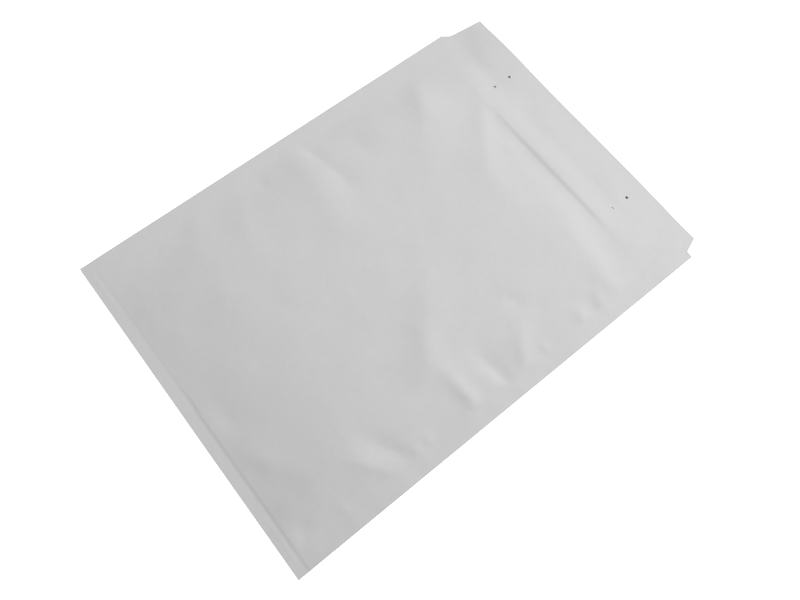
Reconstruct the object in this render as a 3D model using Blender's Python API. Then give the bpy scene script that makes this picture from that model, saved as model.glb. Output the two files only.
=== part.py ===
"""Padded envelope of white paper with an air-cell film lining, lying flat on its back panel.

Metres, +Z up. +X runs across the width and +Y along the length, from the closed end to the
flap. The origin is the centre of the bounding box, on the surface that the envelope lies on.
"""

import math

import bmesh
import bpy

# Driving dimensions
WIDTH = 0.290
BODY_LENGTH = 0.3725  # closed end to the mouth, where the flap starts
TOTAL_LENGTH = 0.405  # closed end to the tip of the open flap
PAPER = 0.0002
SIDE_SEAM = 0.011  # width of the flat bonded margin at each side
END_SEAM = 0.010  # the same at the closed end
END_TAB = 0.028  # paper turned over the closed end and glued to the back panel
SEAM_HEIGHT = 0.0056  # bonded margins ride above the surface by this much
FULL_HEIGHT = 0.0118  # over the padded middle
MOUTH_HEIGHT = 0.0090  # top of the front panel at the mouth
FLAP_TIP_HEIGHT = 0.0082

LINING_END = 0.352  # the film stops short of the mouth
LINING_LAYER = 0.0030  # one layer of air cells

# Distances in from the bonded margins. The closed end fills out more slowly than the sides.
SIDE_RAMP = 0.034  # to full height
END_RAMP = 0.060
SIDE_BACK_RAMP = 0.024  # to where the back panel lies flat
END_BACK_RAMP = 0.040
SIDE_LINING = 0.010  # to the lining's rounded edge
END_LINING = 0.014
SIDE_POCKET = 0.017  # to the pocket between the lining's two layers
END_POCKET = 0.026
POCKET_LEAST = 0.0008  # height of the pocket where the layers nearly meet

# Grid lines
FLAT_LINES = (0.030, 0.062, 0.088)  # over the flat middle, from the centre line
SIDE_LINES = (SIDE_RAMP, SIDE_BACK_RAMP, SIDE_POCKET, SIDE_LINING, 0.005, 0.0)
END_LINES = (0.0, 0.007, END_LINING, END_TAB - END_SEAM, END_TAB - END_SEAM + PAPER, END_POCKET, 0.033,
             END_BACK_RAMP, 0.050, END_RAMP)
LENGTH_LINES = (0.110, 0.150, 0.190, 0.230, 0.270, 0.305, 0.338, LINING_END)
GAP = 0.0003  # between separate pieces

HOLE_RADIUS = 0.0012  # punched for a clasp, through the front panel and the flap
HOLE_SPACING = 0.148
BODY_HOLES_Y = 0.369
FLAP_HOLES_Y = 0.386
HOLE_SIDES = 16
HOLE_DEPTH = 0.0075  # the punch stops short of the back panel

STRIP_LENGTH = 0.252  # self-seal strip under the flap
STRIP_START = 0.3895
STRIP_LINES = (0.0, 0.063, 0.115)  # where it bends with the flap, from the centre line
ADHESIVE_WIDTH = 0.011
LINER_WIDTH = 0.0135
ADHESIVE = 0.0002
LINER = 0.0002

# The flap is cut narrower than the body: distance from the closed end, inset at each side.
LEFT_CUT = [(0.367, 0.0), (BODY_LENGTH + 0.001, 0.0048), (TOTAL_LENGTH, 0.0094)]
RIGHT_CUT = [(0.3917, 0.0), (0.3920, 0.0055), (TOTAL_LENGTH, 0.0105)]

PAPER_WHITE = (0.60, 0.60, 0.60, 1.0)
FILM_CLEAR = (0.72, 0.74, 0.75, 1.0)
GLUE_AMBER = (0.62, 0.55, 0.38, 1.0)
LINER_WHITE = (0.68, 0.69, 0.70, 1.0)


def clear_scene():
    for old in list(bpy.data.objects):
        bpy.data.objects.remove(old)


def material(name, colour, roughness):
    made = bpy.data.materials.new(name)
    made.use_nodes = True
    shader = made.node_tree.nodes["Principled BSDF"]
    shader.inputs["Base Color"].default_value = colour
    shader.inputs["Roughness"].default_value = roughness
    shader.inputs["Metallic"].default_value = 0.0
    return made


def ease(distance, ramp):
    """0 at the start of a ramp and 1 past its end, level at both."""
    share = min(max(distance / ramp, 0.0), 1.0)
    return math.sin(0.5 * math.pi * share) ** 2


def cut_inset(cuts, along):
    """Inset of the flap's cut side at a distance along the length."""
    inset = 0.0
    for (start, before), (end, after) in zip(cuts, cuts[1:]):
        if along > start:
            share = min((along - start) / (end - start), 1.0)
            inset = before + share * (after - before)
    return inset


def margin_rise(across, along, side_ramp, end_ramp):
    """How far the padding has risen: across from the centre line, along from the closed end."""
    from_side = WIDTH / 2 - SIDE_SEAM - abs(across)
    return ease(from_side, side_ramp) * ease(along - END_SEAM, end_ramp)


def front_top(across, along):
    """Outer face of the front panel and the flap."""
    low = SEAM_HEIGHT + PAPER
    crown = FULL_HEIGHT
    if along > BODY_LENGTH:
        share = (along - BODY_LENGTH) / (TOTAL_LENGTH - BODY_LENGTH)
        crown = MOUTH_HEIGHT + share * (FLAP_TIP_HEIGHT - MOUTH_HEIGHT)
    elif along > LINING_END:
        share = (along - LINING_END) / (BODY_LENGTH - LINING_END)
        crown = FULL_HEIGHT + share * (MOUTH_HEIGHT - FULL_HEIGHT)
    return low + (crown - low) * margin_rise(across, along, SIDE_RAMP, END_RAMP)


def back_panel(across, along):
    """Outer face of the back panel, which lies on the surface."""
    return (SEAM_HEIGHT - PAPER) * (1.0 - margin_rise(across, along, SIDE_BACK_RAMP, END_BACK_RAMP))


def back_under(across, along):
    """The same with the end tab, one more layer of paper."""
    tab = PAPER if along <= END_TAB else 0.0
    return back_panel(across, along) - tab


def front_inner(across, along):
    return front_top(across, along) - PAPER


def back_inner(across, along):
    return back_panel(across, along) + PAPER


def lining_top(across, along):
    return front_inner(across, along) - GAP


def lining_under(across, along):
    return back_inner(across, along) + GAP


def pocket_half(across, along):
    """Half the height left between the two layers of film."""
    room = lining_top(across, along) - lining_under(across, along) - 2 * LINING_LAYER
    return max(room, POCKET_LEAST) / 2


def pocket_middle(across, along):
    return (lining_top(across, along) + lining_under(across, along)) / 2


def pocket_top(across, along):
    return pocket_middle(across, along) + pocket_half(across, along)


def pocket_under(across, along):
    return pocket_middle(across, along) - pocket_half(across, along)


def mirrored(half):
    """Grid lines across the width from those of one half, centre line included."""
    return [-value for value in reversed(half)] + [0.0] + list(half)


class Grid:
    """Points of one layer, on shared grid lines, made as they are asked for."""

    def __init__(self, bm, columns, rows, place, height):
        self.bm = bm
        self.columns = columns
        self.rows = rows
        self.place = place
        self.height = height
        self.points = {}

    def at(self, column, row):
        key = (column, row)
        if key not in self.points:
            across = self.place(self.columns[column], self.rows[row])
            along = self.rows[row]
            spot = (across, along - TOTAL_LENGTH / 2, self.height(self.columns[column], along))
            self.points[key] = self.bm.verts.new(spot)
        return self.points[key]


def cell(grid, column, row):
    """The four corners of one cell of a layer."""
    ring = [(column, row), (column + 1, row), (column + 1, row + 1), (column, row + 1)]
    return [grid.at(*corner) for corner in ring]


def add_face(bm, corners):
    """One face from corners that may name the same point twice."""
    ring = []
    for corner in corners:
        if corner not in ring:
            ring.append(corner)
    if len(ring) > 2 and not bm.faces.get(ring):
        bm.faces.new(ring)


def face_outwards(bm):
    bmesh.ops.recalc_face_normals(bm, faces=bm.faces)
    if bm.calc_volume(signed=True) < 0.0:
        bmesh.ops.reverse_faces(bm, faces=bm.faces)


def pocketed_solid(columns, rows, mouth, place, faces):
    """A flat bag, open at row mouth, whose front wall may run on past it as a flap.

    faces holds the heights of the front, the back, and the pocket's two sides. The pocket
    starts one grid line in from the edge on three sides, where its two sides meet.
    """
    front_of, back_of, pocket_front_of, pocket_back_of = faces
    bm = bmesh.new()
    front = Grid(bm, columns, rows, place, front_of)
    back = Grid(bm, columns, rows, place, back_of)
    upper = Grid(bm, columns, rows, place, pocket_front_of)
    lower = Grid(bm, columns, rows, place, pocket_back_of)
    last, end = len(columns) - 1, len(rows) - 1

    # The pocket's sides share their points along the three bonded edges.
    edge = [(column, 1) for column in range(1, last)]
    edge += [(column, row) for column in (1, last - 1) for row in range(1, mouth + 1)]
    edge += [(0, mouth), (last, mouth)]
    for key in edge:
        lower.points[key] = upper.at(*key)

    for column in range(last):
        for row in range(end):
            add_face(bm, cell(front, column, row))
            add_face(bm, cell(back if row < mouth else upper, column, row))
    for column in range(1, last - 1):
        for row in range(1, mouth):
            add_face(bm, cell(upper, column, row))
            add_face(bm, cell(lower, column, row))
    for column in range(last):
        after = column + 1
        add_face(bm, [front.at(column, 0), front.at(after, 0), back.at(after, 0), back.at(column, 0)])
        add_face(bm, [front.at(column, end), front.at(after, end),
                      upper.at(after, end), upper.at(column, end)])
        add_face(bm, [lower.at(column, mouth), lower.at(after, mouth),
                      back.at(after, mouth), back.at(column, mouth)])
    for side in (0, last):
        for row in range(end):
            wall = [front.at(side, row), front.at(side, row + 1)]
            if row < mouth - 1:
                wall += [back.at(side, row + 1), back.at(side, row)]
            elif row == mouth - 1:
                wall += [upper.at(side, mouth), back.at(side, mouth), back.at(side, row)]
            else:
                wall += [upper.at(side, row + 1), upper.at(side, row)]
            add_face(bm, wall)
    face_outwards(bm)
    return bm


def add_object(name, bm, finish):
    mesh = bpy.data.meshes.new(name)
    bm.to_mesh(mesh)
    bm.free()
    mesh.materials.append(finish)
    made = bpy.data.objects.new(name, mesh)
    bpy.context.scene.collection.objects.link(made)
    return made


def cut_to_outline(across, along):
    """Moves the outermost grid line in to the flap's cut sides."""
    if across <= -WIDTH / 2 + SIDE_SEAM / 2:
        return across + cut_inset(LEFT_CUT, along)
    if across >= WIDTH / 2 - SIDE_SEAM / 2:
        return across - cut_inset(RIGHT_CUT, along)
    return across


def as_it_is(across, along):
    return across


def side_lines(least):
    """Grid lines of one half of the width, from the middle out, no nearer the margin than least."""
    inner = WIDTH / 2 - SIDE_SEAM
    return list(FLAT_LINES) + [inner - step for step in SIDE_LINES if step >= least]


def end_lines(least):
    """Grid lines along the length, from the closed end to the end of the lining."""
    return [END_SEAM + step for step in END_LINES if step >= least] + list(LENGTH_LINES)


def paper_envelope():
    """One folded sheet: front panel with its flap, back panel, and the bonded margins."""
    columns = mirrored(side_lines(0.0) + [WIDTH / 2])
    rows = [0.0] + end_lines(0.0) + [0.360, 0.367, BODY_LENGTH]
    mouth = len(rows) - 1
    rows += [BODY_LENGTH + 0.001, 0.382, 0.3917, 0.3920, TOTAL_LENGTH]
    faces = (front_top, back_under, front_inner, back_inner)
    bm = pocketed_solid(columns, rows, mouth, cut_to_outline, faces)
    return add_object("paper_envelope", bm, material("white_paper", PAPER_WHITE, 0.85))


def clasp_hole_cutter():
    """Four round punches, two through the front panel at the mouth and two through the flap."""
    bm = bmesh.new()
    for along in (BODY_HOLES_Y, FLAP_HOLES_Y):
        for across in (-HOLE_SPACING / 2, HOLE_SPACING / 2):
            made = bmesh.ops.create_cone(bm, cap_ends=True, segments=HOLE_SIDES, radius1=HOLE_RADIUS,
                                         radius2=HOLE_RADIUS, depth=HOLE_DEPTH)
            move = (across, along - TOTAL_LENGTH / 2, FULL_HEIGHT - HOLE_DEPTH / 2)
            bmesh.ops.translate(bm, verts=made["verts"], vec=move)
    cutter = add_object("clasp_hole_cutter", bm, material("cutter", PAPER_WHITE, 0.5))
    cutter.hide_render = True
    cutter.display_type = "WIRE"
    return cutter


def punch(sheet, cutter):
    cut = sheet.modifiers.new("clasp_holes", "BOOLEAN")
    cut.operation = "DIFFERENCE"
    cut.object = cutter


def bubble_lining():
    """One sheet of air-cell film folded into a bag, open towards the mouth."""
    columns = mirrored(side_lines(SIDE_LINING))
    rows = [END_SEAM + END_LINING] + end_lines(END_POCKET)
    faces = (lining_top, lining_under, pocket_top, pocket_under)
    bm = pocketed_solid(columns, rows, len(rows) - 1, as_it_is, faces)
    return add_object("bubble_lining", bm, material("clear_film", FILM_CLEAR, 0.3))


def strip_under_flap(name, width, thickness, drop, finish):
    """A straight strip across the flap's inner face, drop below it."""
    bm = bmesh.new()
    middle = STRIP_START + ADHESIVE_WIDTH / 2
    ends = (middle - width / 2, middle + width / 2)
    flat = WIDTH / 2 - SIDE_SEAM - SIDE_RAMP
    lines = STRIP_LINES + (flat, STRIP_LENGTH / 2)
    reach = sorted({-line for line in lines} | set(lines))
    levels = []
    for depth in (drop, drop + thickness):
        levels.append([[bm.verts.new((across, along - TOTAL_LENGTH / 2, front_inner(across, along) - depth))
                        for across in reach] for along in ends])
    (near, far), (near_under, far_under) = levels
    for index in range(len(reach) - 1):
        after = index + 1
        bm.faces.new([near[index], near[after], far[after], far[index]])
        bm.faces.new([near_under[index], near_under[after], far_under[after], far_under[index]])
        bm.faces.new([near[index], near[after], near_under[after], near_under[index]])
        bm.faces.new([far[index], far[after], far_under[after], far_under[index]])
    for end in (0, -1):
        bm.faces.new([near[end], far[end], far_under[end], near_under[end]])
    face_outwards(bm)
    return add_object(name, bm, finish)


def main():
    clear_scene()
    punch(paper_envelope(), clasp_hole_cutter())
    bubble_lining()
    strip_under_flap("flap_adhesive", ADHESIVE_WIDTH, ADHESIVE, GAP, material("glue", GLUE_AMBER, 0.35))
    below = GAP + ADHESIVE + GAP
    strip_under_flap("release_liner", LINER_WIDTH, LINER, below, material("liner", LINER_WHITE, 0.4))


main()
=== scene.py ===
import math

import bmesh
import bpy
import numpy as np
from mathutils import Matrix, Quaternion, Vector


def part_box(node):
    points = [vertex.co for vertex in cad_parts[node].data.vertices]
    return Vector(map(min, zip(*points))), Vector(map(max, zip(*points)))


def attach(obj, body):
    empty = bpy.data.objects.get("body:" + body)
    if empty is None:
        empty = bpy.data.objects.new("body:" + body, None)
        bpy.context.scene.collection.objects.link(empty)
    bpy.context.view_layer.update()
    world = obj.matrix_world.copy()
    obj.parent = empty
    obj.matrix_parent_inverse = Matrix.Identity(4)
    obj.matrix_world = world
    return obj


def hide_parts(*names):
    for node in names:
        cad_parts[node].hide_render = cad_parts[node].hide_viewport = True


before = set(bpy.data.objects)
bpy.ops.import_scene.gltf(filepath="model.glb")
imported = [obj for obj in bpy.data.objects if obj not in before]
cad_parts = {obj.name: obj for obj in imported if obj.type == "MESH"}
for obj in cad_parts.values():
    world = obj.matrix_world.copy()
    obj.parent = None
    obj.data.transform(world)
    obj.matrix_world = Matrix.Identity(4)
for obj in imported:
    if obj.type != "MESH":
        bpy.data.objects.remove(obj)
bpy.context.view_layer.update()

mm = 0.001
paperLow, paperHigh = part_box("paper_envelope")
width = (paperHigh.x - paperLow.x) / mm  # plan sizes below are in mm
length = (paperHigh.y - paperLow.y) / mm
edge = width / 2

# The envelope as a whole. "across" runs from the centre line, "along" from the closed end.
envelope = {
    "sheet": 0.16,  # one sheet of paper
    "sideSeam": 12.0,  # flat bonded margin at the sides
    "endSeam": 9.6,
    "seamHeight": 5.9,  # top of the margins
    "seamThickness": 0.5,
    "cornerDroop": 2.0,
    "seamBow": 1.3,
    "mouth": 372.5,
    "liningEnd": 352.0,
    "endTab": 28.0,
}

frontShape = {
    "crown": 11.1,
    "rampLeft": (52.0, 44.0),  # run of the padding's rise from the margin, at the closed end and the mouth
    "rampRight": (36.0, 74.0),
    "rampEnd": 112.0,
    "shoulder": (300.0, 50.0, 1.7),  # start, run and drop where the padding thins out
    "crease": (349.4, 5.2, 0.6),  # start, run and height of the sharp step after the lining
    "creaseReach": (-72.0, 108.0),
    "lipFall": (352.0, 24.0, 1.3),
    "tipRise": 1.9,  # the left corner of the flap curls up a little
    "seamStep": (8.0, 3.2, 0.3),  # start, run and height of the rise beside the closed end
    "softness": 0.3,  # height of the slow unevenness of the padding
}

backShape = {"rampSide": 30.0, "rampEnd": 44.0, "clearance": 0.02}

# Cut sides of the flap: along, inset
leftCut = [(367.0, 0.0), (373.5, 4.8), (405.0, 9.4)]
rightCut = [(391.7, 0.0), (391.95, 5.6), (405.0, 10.4)]

# Folds of the front panel, in mm from the left side and from the closed end:
# start, end, half width at each, height (below zero for a valley), lean of the steeper flank
frontFolds = [
    ((278, 98), (232, 66), 5.0, 10.0, 0.75, 0.0),
    ((277, 113), (222, 84), 5.6, 12.0, -0.9, 0.0),
    ((279, 131), (260, 129), 3.4, 5.0, 0.35, 0.1),
    ((279, 119), (260, 118), 3.4, 5.0, 0.25, 0.1),
    ((278, 54), (262, 51), 3.6, 5.0, 0.3, 0.0),
    ((281, 175), (220, 170), 5.4, 11.0, 1.15, 0.1),
    ((281, 206), (222, 199), 5.0, 20.0, -1.45, 0.3),
    ((281, 218), (230, 254), 5.6, 11.0, 0.8, 0.0),
    ((220, 248), (244, 254), 7.0, 8.0, -0.5, 0.0),
    ((279, 246), (264, 245), 3.0, 5.0, 0.35, 0.0),
    ((280, 284), (258, 286), 3.6, 6.0, 0.45, 0.0),
    ((280, 303), (256, 309), 4.0, 8.0, 0.6, 0.2),
    ((244, 150), (150, 226), 12.0, 20.0, 1.5, 0.0),
    ((292, 322), (160, 326), 13.0, 20.0, 1.1, 0.0),
    ((66, 355), (156, 290), 8.0, 15.0, 0.9, 0.0),
    ((14, 326), (116, 262), 9.0, 17.0, 0.75, 0.0),
    ((-10, 188), (136, 188), 17.0, 26.0, 1.3, 0.0),
    ((8, 200), (92, 216), 5.0, 9.0, -0.6, 0.0),
    ((10, 138), (86, 108), 9.0, 14.0, 0.35, 0.0),
    ((8, 98), (70, 74), 9.0, 14.0, 0.3, 0.0),
    ((14, 152), (56, 160), 6.0, 9.0, -0.35, 0.0),
    ((28, 236), (84, 248), 8.0, 12.0, -0.4, 0.0),
    ((140, 2), (196, 48), 8.0, 14.0, -0.4, 0.0),
    ((180, 4), (256, 62), 8.0, 13.0, 0.55, 0.0),
    ((104, 92), (158, 128), 12.0, 14.0, -0.4, 0.0),
    ((276, 12), (256, 28), 4.0, 7.0, -0.4, 0.0),
    ((60, 380), (12, 392), 9.0, 12.0, 0.4, 0.0),
    ((214, 380), (224, 400), 6.0, 8.0, -0.25, 0.0),
]

claspHoles = {"radius": 1.2, "spacing": 148.0, "along": (369.0, 386.0), "sides": 24, "gather": 15.0}


def ease(value, run):
    share = np.clip(value / run, 0.0, 1.0)
    return share * share * (3.0 - 2.0 * share)


def swell(value, run):
    # rises at once and levels off
    return np.sin(math.pi / 2 * np.clip(value / run, 0.0, 1.0))


def hat(value, low, high, fade):
    return ease(value - low, fade) * (1.0 - ease(value - high + fade, fade))


def softNoise(across, along, cell, seed):
    # even bumps about one cell wide, between -1 and 1
    dice = np.random.default_rng(seed)
    lattice = dice.uniform(-1.0, 1.0, (96, 96))
    column = across / cell + 48.0
    row = along / cell + 8.0
    c, r = np.floor(column).astype(int), np.floor(row).astype(int)
    fc, fr = ease(column - c, 1.0), ease(row - r, 1.0)
    near = lattice[r % 96, c % 96] * (1 - fc) + lattice[r % 96, (c + 1) % 96] * fc
    far = lattice[(r + 1) % 96, c % 96] * (1 - fc) + lattice[(r + 1) % 96, (c + 1) % 96] * fc
    return near * (1 - fr) + far * fr


def foldHeight(across, along, fold):
    (startAcross, startAlong), (endAcross, endAlong), startWidth, endWidth, height, lean = fold
    runAcross, runAlong = endAcross - startAcross, endAlong - startAlong
    run = math.hypot(runAcross, runAlong)
    dx, dy = across + edge - startAcross, along - startAlong
    share = (dx * runAcross + dy * runAlong) / run**2
    offset = (dx * runAlong - dy * runAcross) / run
    offset = offset * np.sign(-runAcross if runAcross else 1.0)  # positive towards the flap
    half = startWidth + (endWidth - startWidth) * np.clip(share, 0.0, 1.0)
    half = half * np.where(offset > 0, 1.0 + lean, 1.0 - lean)
    ridge = np.exp(-np.abs(1.1 * offset / half) ** 1.7)
    return height * ridge * ease(share + 0.06, 0.36) * (1.0 - ease(share - 0.40, 0.62))


def marginDistance(across):
    return edge - envelope["sideSeam"] - np.abs(across)


def seamTop(across, along):
    # the free edges are never quite level
    wave = 0.35 * softNoise(across * 0.2, along, 34.0, 3) + 0.12 * softNoise(across, along, 11.0, 4)
    bow = envelope["seamBow"] * np.sin(math.pi * np.clip(along / length, 0.0, 1.0))
    droop = envelope["cornerDroop"] * (1.0 - ease(along, 100.0))
    right = ease(across, edge)
    return envelope["seamHeight"] + wave * (0.4 + 0.6 * right) + (bow - droop) * right


def padRise(across, along, left, right, end):
    side = np.where(across < 0, ease(marginDistance(across), left), ease(marginDistance(across), right))
    return side * swell(along - envelope["endSeam"], end)


def frontTop(across, along):
    s = frontShape
    share = along / length
    left = s["rampLeft"][0] + (s["rampLeft"][1] - s["rampLeft"][0]) * share
    right = s["rampRight"][0] + (s["rampRight"][1] - s["rampRight"][0]) * share
    rise = padRise(across, along, left, right, s["rampEnd"])
    start, run, drop = s["shoulder"]
    crown = s["crown"] - drop * ease(along - start, run)
    start, run, step = s["crease"]
    reach = hat(across, s["creaseReach"][0], s["creaseReach"][1], 60.0)
    crown = crown + step * reach * (ease(along - start, run) - ease(along - start + 16.0, 16.0))
    start, run, drop = s["lipFall"]
    crown = crown - drop * ease(along - start, run)
    onFlap = ease(along - envelope["mouth"], length - envelope["mouth"])
    crown = crown - 0.6 * onFlap
    seam = seamTop(across, along)
    top = seam + (crown - seam) * rise
    top = top + s["tipRise"] * onFlap * ease(-across - 20.0, 110.0)

    inside = ease(marginDistance(across) + 1.5, 7.0)
    onPad = inside * ease(along - envelope["endSeam"], 18.0)
    folds = sum(foldHeight(across, along, fold) for fold in frontFolds)
    slow = s["softness"] * softNoise(across, along, 26.0, 11) + 0.08 * softNoise(across, along, 11.0, 12)
    top = top + onPad * (folds + slow * (1.0 - 0.6 * onFlap))

    # the sheet steps up off the bonded end, more so on the right, with a small jog in the line
    start, run, step = s["seamStep"]
    start = start + 1.1 * hat(across, -14.0, 8.0, 6.0)
    strength = 0.3 + 0.7 * ease(across + 18.0, 20.0)
    lip = 0.08 * np.exp(-(((along - 5.6) / 1.6) ** 2)) * hat(np.abs(across), 96.0, 142.0, 14.0)
    return top + step * strength * ease(along - start, run) + lip


def backPanel(across, along):
    s = backShape
    rise = padRise(across, along, s["rampSide"], s["rampSide"], s["rampEnd"])
    low = seamTop(across, along) - envelope["seamThickness"]
    puckers = 0.5 * np.abs(softNoise(across * 0.35, along, 9.0, 21)) * rise * (1.0 - rise) * 4.0
    free = s["clearance"] + low * (1.0 - rise) + puckers
    # the pins that made the holes left the back lying close under the front around them
    highest = frontTop(across, along) - envelope["seamThickness"]
    for side, gap in ((-1, 0.5), (1, 0.1)):
        far = np.hypot(across - side * claspHoles["spacing"] / 2, 1.5 * (along - claspHoles["along"][0]))
        free = free + (highest - gap - free) * np.exp(-((far / claspHoles["gather"]) ** 2))
    return np.minimum(free, highest)


def backUnder(across, along):
    panel = backPanel(across, along) + envelope["sheet"]
    tab = (along <= envelope["endTab"]) * envelope["sheet"]
    return np.maximum(panel - tab, backShape["clearance"])


def frontInner(across, along):
    return frontTop(across, along) - envelope["sheet"]


def backInner(across, along):
    return backPanel(across, along) + 2 * envelope["sheet"]


def cutInset(cuts, along):
    places, insets = zip(*cuts)
    return np.interp(along, places, insets)


def cutToOutline(across, along):
    # margin points close up towards the flap's cut sides
    margin = envelope["sideSeam"]
    left = ease(-across - edge + margin, margin) * cutInset(leftCut, along)
    right = ease(across - edge + margin, margin) * cutInset(rightCut, along)
    return across + left - right


def spread(stops):
    # grid lines from (end, spacing) pairs, starting at the first pair's value
    lines = [stops[0]]
    for end, spacing in stops[1:]:
        count = max(1, round(abs(end - lines[-1]) / spacing))
        lines += list(np.linspace(lines[-1], end, count + 1)[1:])
    return np.array(lines)


def bagMesh(name, columns, rows, pocket, heights, plan=None):
    # A flat bag open at row pocket[2], whose front may run on as a flap. The bonded margins are
    # pocket[0] grid cells wide at the sides and pocket[1] at the closed end.
    side, end, mouth = pocket
    n, m = len(columns), len(rows)
    across, along = np.meshgrid(columns, rows)
    placed = plan(across, along) if plan else across
    y = along * mm + paperLow.y
    points, layers = [], []
    for index, height in enumerate(heights):
        points.append(np.stack([placed * mm, y, height(across, along) * mm], axis=-1).reshape(-1, 3))
        layers.append(np.arange(n * m).reshape(m, n) + index * n * m)
    front, back, upper, lower = layers
    lower[:, : side + 1] = upper[:, : side + 1]
    lower[:, n - 1 - side :] = upper[:, n - 1 - side :]
    lower[: end + 1, :] = upper[: end + 1, :]

    faces = []

    def tile(layer, r0, r1, c0, c1, up):
        for r in range(r0, r1):
            for c in range(c0, c1):
                ring = [layer[r, c], layer[r, c + 1], layer[r + 1, c + 1], layer[r + 1, c]]
                faces.append(ring if up else ring[::-1])

    tile(front, 0, m - 1, 0, n - 1, True)
    tile(back, 0, mouth, 0, n - 1, False)
    tile(upper, mouth, m - 1, 0, n - 1, False)
    tile(upper, end, mouth, side, n - 1 - side, False)
    tile(lower, end, mouth, side, n - 1 - side, True)
    for c in range(n - 1):
        faces.append([front[0, c], back[0, c], back[0, c + 1], front[0, c + 1]])
        faces.append([front[m - 1, c], front[m - 1, c + 1], upper[m - 1, c + 1], upper[m - 1, c]])
        faces.append([lower[mouth, c], lower[mouth, c + 1], back[mouth, c + 1], back[mouth, c]])
    for c, turned in ((0, False), (n - 1, True)):
        for r in range(m - 1):
            ring = [front[r, c], front[r + 1, c]]
            if r < mouth - 1:
                ring += [back[r + 1, c], back[r, c]]
            elif r == mouth - 1:
                ring += [upper[mouth, c], back[mouth, c], back[r, c]]
            else:
                ring += [upper[r + 1, c], upper[r, c]]
            faces.append(ring[::-1] if turned else ring)

    faces = [list(map(int, ring)) for ring in faces]
    used = sorted({corner for ring in faces for corner in ring})
    renumber = {old: new for new, old in enumerate(used)}
    allPoints = np.concatenate(points)
    mesh = bpy.data.meshes.new(name)
    mesh.from_pydata(allPoints[used].tolist(), [], [[renumber[k] for k in ring] for ring in faces])
    mesh.update()
    return mesh


def addPiece(name, mesh, material=None, sharpAngle=35.0):
    piece = bpy.data.objects.new(name, mesh)
    bpy.context.scene.collection.objects.link(piece)
    if material:
        mesh.materials.clear()
        mesh.materials.append(material)
    mesh.shade_smooth()
    mesh.set_sharp_from_angle(angle=math.radians(sharpAngle))
    return piece


def linear(hexColour):
    channels = [int(hexColour[k : k + 2], 16) / 255 for k in (1, 3, 5)]
    return tuple(c / 12.92 if c <= 0.04045 else ((c + 0.055) / 1.055) ** 2.4 for c in channels) + (1.0,)


def node(tree, kind, settings=None, links=None):
    # adds one node; settings are inputs or properties by name, links are input name to output socket
    made = tree.nodes.new(kind)
    for key, value in (settings or {}).items():
        if key in made.inputs:
            made.inputs[key].default_value = value
        else:
            setattr(made, key, value)
    for key, source in (links or {}).items():
        tree.links.new(source, made.inputs[key])
    return made


def startMaterial(name):
    material = bpy.data.materials.new(name)
    material.use_nodes = True
    tree = material.node_tree
    return material, tree, tree.nodes["Principled BSDF"]


def paperMaterial():
    # uncoated bleached wood-pulp paper: matt, with a faint cloudy formation and felt-like tooth
    look = {"light": "#D2D2D1", "shade": "#CACBCB", "clouds": 5.0, "tooth": 0.9, "toothHeight": 0.012}
    material, tree, shader = startMaterial("uncoated bleached paper")
    place = node(tree, "ShaderNodeTexCoord").outputs["Object"]
    clouds = node(tree, "ShaderNodeTexNoise", {"Scale": 1 / (look["clouds"] * mm), "Detail": 4.0,
                                               "Roughness": 0.62}, {"Vector": place})
    tint = node(tree, "ShaderNodeMix", {"data_type": "RGBA"}, {"Factor": clouds.outputs["Fac"]})
    tint.inputs[6].default_value = linear(look["shade"])
    tint.inputs[7].default_value = linear(look["light"])
    tree.links.new(tint.outputs[2], shader.inputs["Base Color"])
    # fibres are finer than the render shows, so the tooth is drawn a little coarser
    tooth = node(tree, "ShaderNodeTexNoise", {"Scale": 1 / (look["tooth"] * mm), "Detail": 3.0,
                                              "Roughness": 0.7}, {"Vector": place})
    bump = node(tree, "ShaderNodeBump", {"Strength": 0.5, "Distance": look["toothHeight"] * mm},
                {"Height": tooth.outputs["Fac"]})
    tree.links.new(bump.outputs["Normal"], shader.inputs["Normal"])
    rough = node(tree, "ShaderNodeMapRange", {"To Min": 0.72, "To Max": 0.88}, {"Value": clouds.outputs["Fac"]})
    tree.links.new(rough.outputs["Result"], shader.inputs["Roughness"])
    shader.inputs["IOR"].default_value = 1.47
    shader.inputs["Specular IOR Level"].default_value = 0.35
    return material


def filmMaterial():
    # low-density polyethylene film: soft, clear, slightly milky, with a satin gloss
    look = {"clear": "#EDF0F1", "milky": "#DFE4E6", "haze": 6.0, "wrinkle": 2.2}
    material, tree, shader = startMaterial("clear polyethylene film")
    place = node(tree, "ShaderNodeTexCoord").outputs["Object"]
    haze = node(tree, "ShaderNodeTexNoise", {"Scale": 1 / (look["haze"] * mm), "Detail": 2.0}, {"Vector": place})
    tint = node(tree, "ShaderNodeMix", {"data_type": "RGBA"}, {"Factor": haze.outputs["Fac"]})
    tint.inputs[6].default_value = linear(look["clear"])
    tint.inputs[7].default_value = linear(look["milky"])
    tree.links.new(tint.outputs[2], shader.inputs["Base Color"])
    crinkle = node(tree, "ShaderNodeTexNoise", {"Scale": 1 / (look["wrinkle"] * mm), "Detail": 2.0},
                   {"Vector": place})
    bump = node(tree, "ShaderNodeBump", {"Strength": 0.35, "Distance": 0.08 * mm},
                {"Height": crinkle.outputs["Fac"]})
    tree.links.new(bump.outputs["Normal"], shader.inputs["Normal"])
    shader.inputs["Roughness"].default_value = 0.22
    shader.inputs["IOR"].default_value = 1.51
    shader.inputs["Alpha"].default_value = 0.42
    return material


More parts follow.
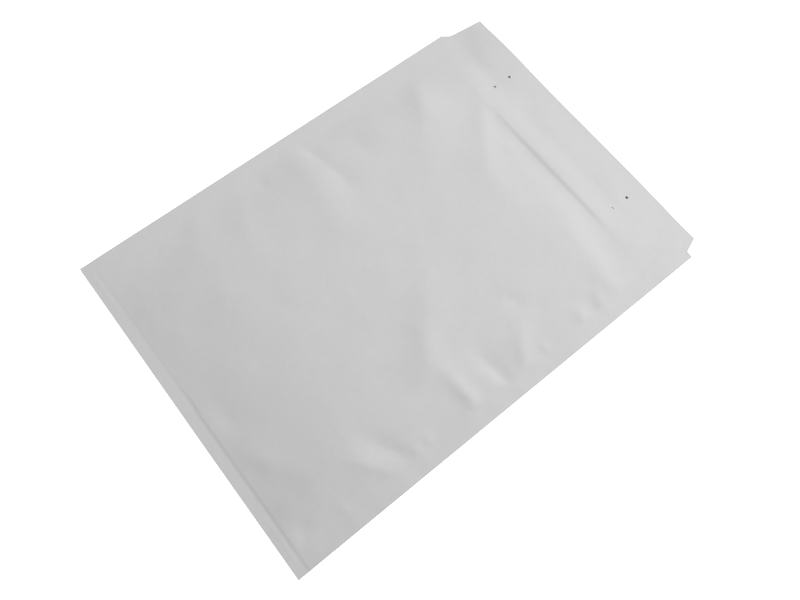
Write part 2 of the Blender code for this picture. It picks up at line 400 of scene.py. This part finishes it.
def stripMaterial(name, light, dark, grain, roughness, gloss):
    material, tree, shader = startMaterial(name)
    place = node(tree, "ShaderNodeTexCoord").outputs["Object"]
    mottle = node(tree, "ShaderNodeTexNoise", {"Scale": 1 / (grain * mm), "Detail": 3.0}, {"Vector": place})
    tint = node(tree, "ShaderNodeMix", {"data_type": "RGBA"}, {"Factor": mottle.outputs["Fac"]})
    tint.inputs[6].default_value = linear(light)
    tint.inputs[7].default_value = linear(dark)
    tree.links.new(tint.outputs[2], shader.inputs["Base Color"])
    bump = node(tree, "ShaderNodeBump", {"Strength": 0.3, "Distance": 0.02 * mm},
                {"Height": mottle.outputs["Fac"]})
    tree.links.new(bump.outputs["Normal"], shader.inputs["Normal"])
    shader.inputs["Roughness"].default_value = roughness
    shader.inputs["Coat Weight"].default_value = gloss
    shader.inputs["Coat Roughness"].default_value = 0.25
    return material


def punchHoles(piece):
    bm = bmesh.new()
    for along in claspHoles["along"]:
        for across in (-claspHoles["spacing"] / 2, claspHoles["spacing"] / 2):
            radius = claspHoles["radius"] * mm
            made = bmesh.ops.create_cone(bm, cap_ends=True, segments=claspHoles["sides"], radius1=radius,
                                         radius2=radius, depth=4 * mm)
            height = float(frontTop(np.array(across), np.array(along))) + 1.7  # only through the front
            bmesh.ops.translate(bm, verts=made["verts"], vec=(across * mm, along * mm + paperLow.y, height * mm))
    mesh = bpy.data.meshes.new("punch")
    bm.to_mesh(mesh)
    bm.free()
    punch = bpy.data.objects.new("punch", mesh)
    bpy.context.scene.collection.objects.link(punch)
    cut = piece.modifiers.new("holes", "BOOLEAN")
    cut.operation = "DIFFERENCE"
    cut.object = punch
    return bakeModifiers(piece, punch)


def bakeModifiers(piece, helper=None):
    bpy.context.view_layer.update()
    graph = bpy.context.evaluated_depsgraph_get()
    mesh = bpy.data.meshes.new_from_object(piece.evaluated_get(graph))
    piece.modifiers.clear()
    piece.data = mesh
    if helper:
        bpy.data.objects.remove(helper)
    return piece


def makePaper(material):
    seam = edge - envelope["sideSeam"]
    columns = spread([-edge, (-seam, 3.0), (-seam + 30, 2.0), (-20.0, 3.0), (40.0, 3.0), (seam - 60, 2.8),
                      (seam - 30, 1.9), (seam, 1.4), (edge, 3.0)])
    mouth = envelope["mouth"]
    rows = spread([0.0, (envelope["endSeam"], 0.8), (14.4, 0.8), (envelope["endTab"], 2.0),
                   (envelope["endTab"] + 0.05, 1.0), (344.0, 2.3), (360.0, 0.8), (mouth, 1.4), (383.0, 1.4),
                   (391.7, 1.9), (391.95, 1.0), (length, 2.2)])
    sideCells = int(np.argmin(np.abs(columns + seam)))
    endCells = int(np.argmin(np.abs(rows - envelope["endSeam"])))
    mouthRow = int(np.argmin(np.abs(rows - mouth)))
    mesh = bagMesh("paperSheet", columns, rows, (sideCells, endCells, mouthRow),
                   (frontTop, backUnder, frontInner, backInner), cutToOutline)
    piece = addPiece("paperSheet", mesh, material)
    print("paper grid", len(columns), "x", len(rows))
    punchHoles(piece)
    piece.data.shade_smooth()
    piece.data.set_sharp_from_angle(angle=math.radians(35))
    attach(piece, "root")
    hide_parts("paper_envelope")
    return piece


bubbleFilm = {"pitch": 10.6, "radius": 4.7, "height": 3.0, "film": 0.12, "gap": 0.35, "marginGap": 8.0,
              "segments": 8, "rings": 6}


def liningRoom(across, along):
    # gap to the paper, thickness of one layer with its bubbles, and of the film alone
    room = frontInner(across, along) - backInner(across, along)
    gap = np.minimum(bubbleFilm["gap"], 0.12 * room)
    layer = np.minimum(bubbleFilm["height"] + bubbleFilm["film"], 0.34 * room)
    return gap, layer, np.minimum(bubbleFilm["film"], 0.1 * room)


def filmTop(across, along):
    gap, layer, film = liningRoom(across, along)
    return frontInner(across, along) - gap - layer + film


def filmTopInner(across, along):
    gap, layer, film = liningRoom(across, along)
    return frontInner(across, along) - gap - layer


def filmUnder(across, along):
    gap, layer, film = liningRoom(across, along)
    return backInner(across, along) + gap + layer - film


def filmUnderInner(across, along):
    gap, layer, film = liningRoom(across, along)
    return backInner(across, along) + gap + layer


def bubbleTree(material):
    # one dome on each point, as tall as the point's own attribute says
    tree = bpy.data.node_groups.new("bubbles", "GeometryNodeTree")
    for name, kind, value in (("Radius", "NodeSocketFloat", 0.005), ("Segments", "NodeSocketInt", 8),
                              ("Rings", "NodeSocketInt", 6)):
        tree.interface.new_socket(name, in_out="INPUT", socket_type=kind).default_value = value
    tree.interface.new_socket("Geometry", in_out="INPUT", socket_type="NodeSocketGeometry")
    tree.interface.new_socket("Geometry", in_out="OUTPUT", socket_type="NodeSocketGeometry")
    given = node(tree, "NodeGroupInput")
    ball = node(tree, "GeometryNodeMeshUVSphere", {}, {
        "Segments": given.outputs["Segments"], "Rings": given.outputs["Rings"], "Radius": given.outputs["Radius"]})
    # the lower half is pressed flat against the film
    where = node(tree, "ShaderNodeSeparateXYZ", {}, {"Vector": node(tree, "GeometryNodeInputPosition").outputs[0]})
    raised = node(tree, "ShaderNodeMath", {"operation": "MAXIMUM"}, {0: where.outputs["Z"]})
    raised.inputs[1].default_value = 0.0
    flat = node(tree, "ShaderNodeCombineXYZ", {}, {"X": where.outputs["X"], "Y": where.outputs["Y"],
                                                   "Z": raised.outputs[0]})
    dome = node(tree, "GeometryNodeSetPosition", {}, {"Geometry": ball.outputs["Mesh"],
                                                      "Position": flat.outputs[0]})
    tall = node(tree, "GeometryNodeInputNamedAttribute", {"data_type": "FLOAT", "Name": "dome"})
    size = node(tree, "ShaderNodeCombineXYZ", {"X": 1.0, "Y": 1.0}, {"Z": tall.outputs["Attribute"]})
    placed = node(tree, "GeometryNodeInstanceOnPoints", {}, {
        "Points": given.outputs["Geometry"], "Instance": dome.outputs["Geometry"], "Scale": size.outputs[0]})
    solid = node(tree, "GeometryNodeRealizeInstances", {}, {"Geometry": placed.outputs["Instances"]})
    smooth = node(tree, "GeometryNodeSetShadeSmooth", {}, {"Geometry": solid.outputs[0]})
    coat = node(tree, "GeometryNodeSetMaterial", {"Material": material}, {"Geometry": smooth.outputs[0]})
    node(tree, "NodeGroupOutput", {}, {"Geometry": coat.outputs["Geometry"]})
    return tree


def bubblePoints(facing):
    # a staggered pattern, each bubble standing on its layer of film and facing the paper
    pitch, radius = bubbleFilm["pitch"], bubbleFilm["radius"]
    reach = edge - envelope["sideSeam"] - bubbleFilm["marginGap"] - radius
    along = envelope["endSeam"] + bubbleFilm["marginGap"] + radius + 4.0
    points, domes = [], []
    row = 0
    while along < envelope["liningEnd"] - radius:
        shift = pitch / 2 if row % 2 else 0.0
        for across in np.arange(-math.floor(reach / pitch) * pitch + shift, reach, pitch):
            here = (np.array(across), np.array(along))
            gap, layer, film = liningRoom(*here)
            depth = float(layer - film)
            if depth < 0.5:
                continue
            base = float(filmTop(*here) if facing > 0 else filmUnder(*here))
            points.append((across * mm, along * mm + paperLow.y, base * mm))
            domes.append(facing * depth / radius)
        along += pitch * math.sqrt(3) / 2
        row += 1
    return points, domes


def makeBubbles(facing, material):
    points, domes = bubblePoints(facing)
    mesh = bpy.data.meshes.new("bubblePoints")
    mesh.from_pydata(points, [], [])
    mesh.attributes.new("dome", "FLOAT", "POINT").data.foreach_set("value", domes)
    piece = bpy.data.objects.new("bubbles", mesh)
    bpy.context.scene.collection.objects.link(piece)
    tree = bubbleTree(material)
    work = piece.modifiers.new("bubbles", "NODES")
    work.node_group = tree
    for item in tree.interface.items_tree:
        if item.in_out == "INPUT" and item.name == "Radius":
            work[item.identifier] = bubbleFilm["radius"] * mm
        if item.in_out == "INPUT" and item.name in ("Segments", "Rings"):
            work[item.identifier] = bubbleFilm[item.name.lower()]
    bakeModifiers(piece)
    if facing < 0:
        piece.data.flip_normals()  # domes turned over by their negative height
    print("bubbles", len(points))
    return piece


def makeLining(material):
    seam = edge - envelope["sideSeam"] - bubbleFilm["marginGap"]
    start = envelope["endSeam"] + bubbleFilm["marginGap"] + 4.0
    columns = spread([-seam, (-seam + 6, 3.0), (seam - 6, 4.0), (seam, 3.0)])
    rows = spread([start, (start + 6, 3.0), (340.0, 5.0), (envelope["liningEnd"], 2.0)])
    mesh = bagMesh("bubbleLining", columns, rows, (1, 1, len(rows) - 1),
                   (filmTop, filmUnder, filmTopInner, filmUnderInner))
    piece = addPiece("bubbleLining", mesh, material)
    bm = bmesh.new()
    bm.from_mesh(piece.data)
    for facing in (1, -1):
        bubbles = makeBubbles(facing, material)
        bm.from_mesh(bubbles.data)
        bpy.data.objects.remove(bubbles)
    for face in bm.faces:
        face.material_index = 0
    bm.to_mesh(piece.data)
    bm.free()
    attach(piece, "root")
    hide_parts("bubble_lining")
    return piece


sealStrip = {
    "length": 252.0,
    "middle": 395.0,  # along
    "adhesive": {"width": 11.0, "thickness": 0.1, "below": 0.03},
    "liner": {"width": 13.5, "thickness": 0.12, "below": 0.16, "wave": 0.25},
}


def makeStrip(name, size, ends, material, cadNode):
    half = sealStrip["length"] / 2 + ends
    columns = spread([-half, (half, 3.0)])
    rows = spread([sealStrip["middle"] - size["width"] / 2, (sealStrip["middle"] + size["width"] / 2, 1.6)])
    across, along = np.meshgrid(columns, rows)
    loose = size.get("wave", 0.0) * (0.5 + 0.5 * softNoise(across, along * 0.3, 16.0, 31))
    top = frontInner(across, along) - size["below"] - loose
    layers = [np.stack([across * mm, along * mm + paperLow.y, (top - drop) * mm], axis=-1).reshape(-1, 3)
              for drop in (0.0, size["thickness"])]
    n, m = len(columns), len(rows)
    upper = np.arange(n * m).reshape(m, n)
    lower = upper + n * m
    faces = []
    for r in range(m - 1):
        for c in range(n - 1):
            ring = [upper[r, c], upper[r, c + 1], upper[r + 1, c + 1], upper[r + 1, c]]
            faces.append(ring)
            faces.append([k + n * m for k in reversed(ring)])
    rim = [(0, c) for c in range(n)] + [(r, n - 1) for r in range(1, m)]
    rim += [(m - 1, c) for c in range(n - 2, -1, -1)] + [(r, 0) for r in range(m - 2, 0, -1)]
    for here, after in zip(rim, rim[1:] + rim[:1]):
        faces.append([upper[here], lower[here], lower[after], upper[after]])
    mesh = bpy.data.meshes.new(name)
    mesh.from_pydata(np.concatenate(layers).tolist(), [], [list(map(int, ring)) for ring in faces])
    mesh.update()
    piece = addPiece(name, mesh, material)
    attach(piece, "root")
    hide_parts(cadNode)
    return piece


studio = {
    "floor": "#FFFFFF",
    # painted shade: darker board colour under the envelope, standing in for its contact shadow
    "paintedUnderShade": "#8C8C8C",
    # painted light: the floor glows without being a lamp, which fills in the envelope's cast shadows
    "paintedFloorGlow": 0.75,
    "ambient": 0.315,
    "key": {"place": (0.25, 2.6, 1.9), "size": 0.9, "power": 88.0, "aim": (0.0, 0.0)},
    "fillRight": {"place": (0.24, 0.22, 0.55), "size": 0.2, "power": 0.45, "aim": (0.2, 0.2)},
    "fillLeft": {"place": (-0.3, -0.16, 0.55), "size": 0.2, "power": 0.36, "aim": (-0.2, -0.1)},
}

view = {"target": (0.0285, -0.0207, 0.006), "azimuth": -45.82, "elevation": 70.79, "roll": 5.996,
        "distance": 0.5605, "lens": 32.28}


def makeFloor():
    bm = bmesh.new()
    bmesh.ops.create_grid(bm, x_segments=8, y_segments=8, size=2.5)
    mesh = bpy.data.meshes.new("floor")
    bm.to_mesh(mesh)
    bm.free()
    material, tree, shader = startMaterial("studio board with painted glow and painted shade")
    shader.inputs["Roughness"].default_value = 0.9
    shader.inputs["Specular IOR Level"].default_value = 0.1
    shader.inputs["Emission Color"].default_value = (1.0, 1.0, 1.0, 1.0)
    # painted light and painted shade: the floor glows everywhere except under the envelope, which washes out its
    # cast shadows, and under the envelope the board is painted darker as a painted contact shadow
    place = node(tree, "ShaderNodeTexCoord").outputs["Object"]
    spot = node(tree, "ShaderNodeVectorMath", {"operation": "ABSOLUTE"}, {0: place})
    out = node(tree, "ShaderNodeVectorMath", {"operation": "SUBTRACT"}, {0: spot.outputs[0]})
    out.inputs[1].default_value = (edge * mm, length / 2 * mm, 0.0)
    parts = node(tree, "ShaderNodeSeparateXYZ", {}, {"Vector": out.outputs[0]})
    far = node(tree, "ShaderNodeMath", {"operation": "MAXIMUM"}, {0: parts.outputs["X"], 1: parts.outputs["Y"]})
    # mask is 1 outside the envelope's footprint, where the painted glow shines, and 0 under it, where the painted
    # shade lies
    clear = node(tree, "ShaderNodeMapRange", {"From Min": -0.0120, "From Max": -0.0105}, {"Value": far.outputs[0]})
    paintedGlow = node(tree, "ShaderNodeMath", {"operation": "MULTIPLY"}, {0: clear.outputs["Result"]})
    paintedGlow.inputs[1].default_value = studio["paintedFloorGlow"]
    tree.links.new(paintedGlow.outputs[0], shader.inputs["Emission Strength"])
    paintedShadeTone = node(tree, "ShaderNodeMix", {"data_type": "RGBA"}, {"Factor": clear.outputs["Result"]})
    paintedShadeTone.inputs[6].default_value = linear(studio["paintedUnderShade"])
    paintedShadeTone.inputs[7].default_value = linear(studio["floor"])
    tree.links.new(paintedShadeTone.outputs[2], shader.inputs["Base Color"])
    floor = addPiece("floor", mesh, material)
    floor.location.z = -0.0002


def makeLight():
    world = bpy.data.worlds.new("studio")
    world.use_nodes = True
    back = world.node_tree.nodes["Background"]
    back.inputs["Color"].default_value = (1.0, 1.0, 1.0, 1.0)
    back.inputs["Strength"].default_value = studio["ambient"]
    bpy.context.scene.world = world
    for name in ("key", "fillRight", "fillLeft"):
        lamp = studio[name]
        light = bpy.data.lights.new(name, "AREA")
        light.shape = "SQUARE"
        light.size = lamp["size"]
        light.energy = lamp["power"]
        holder = bpy.data.objects.new(name, light)
        holder.location = lamp["place"]
        holder.rotation_euler = (Vector(lamp["aim"] + (0.0,)) - holder.location).to_track_quat("-Z", "Y").to_euler()
        bpy.context.scene.collection.objects.link(holder)
    bpy.context.scene.view_settings.view_transform = "Standard"


def makeCamera():
    azimuth, elevation = math.radians(view["azimuth"]), math.radians(view["elevation"])
    ahead = Vector((math.sin(azimuth) * math.cos(elevation), math.cos(azimuth) * math.cos(elevation),
                    -math.sin(elevation)))
    camera = bpy.data.objects.new("camera", bpy.data.cameras.new("camera"))
    camera.data.lens = view["lens"]
    camera.data.sensor_width = 36.0
    camera.data.clip_start = 0.01
    camera.location = Vector(view["target"]) - ahead * view["distance"]
    turn = ahead.to_track_quat("-Z", "Y") @ Quaternion((0, 0, 1), math.radians(view["roll"]))
    camera.rotation_euler = turn.to_euler()
    bpy.context.scene.collection.objects.link(camera)
    bpy.context.scene.camera = camera


makeCamera()
makeLight()
makeFloor()
print("stage ready")
paper = paperMaterial()
film = filmMaterial()
adhesive = stripMaterial("pressure sensitive adhesive", "#E4DCC0", "#D8CDAA", 3.0, 0.35, 0.4)
liner = stripMaterial("siliconised release paper", "#E3E6E8", "#DADDE0", 4.0, 0.42, 0.25)
makePaper(paper)
print("paper ready")
makeLining(film)
print("lining ready")
makeStrip("sealAdhesive", sealStrip["adhesive"], 0.0, adhesive, "flap_adhesive")
makeStrip("releaseLiner", sealStrip["liner"], 0.5, liner, "release_liner")
print("strip ready")
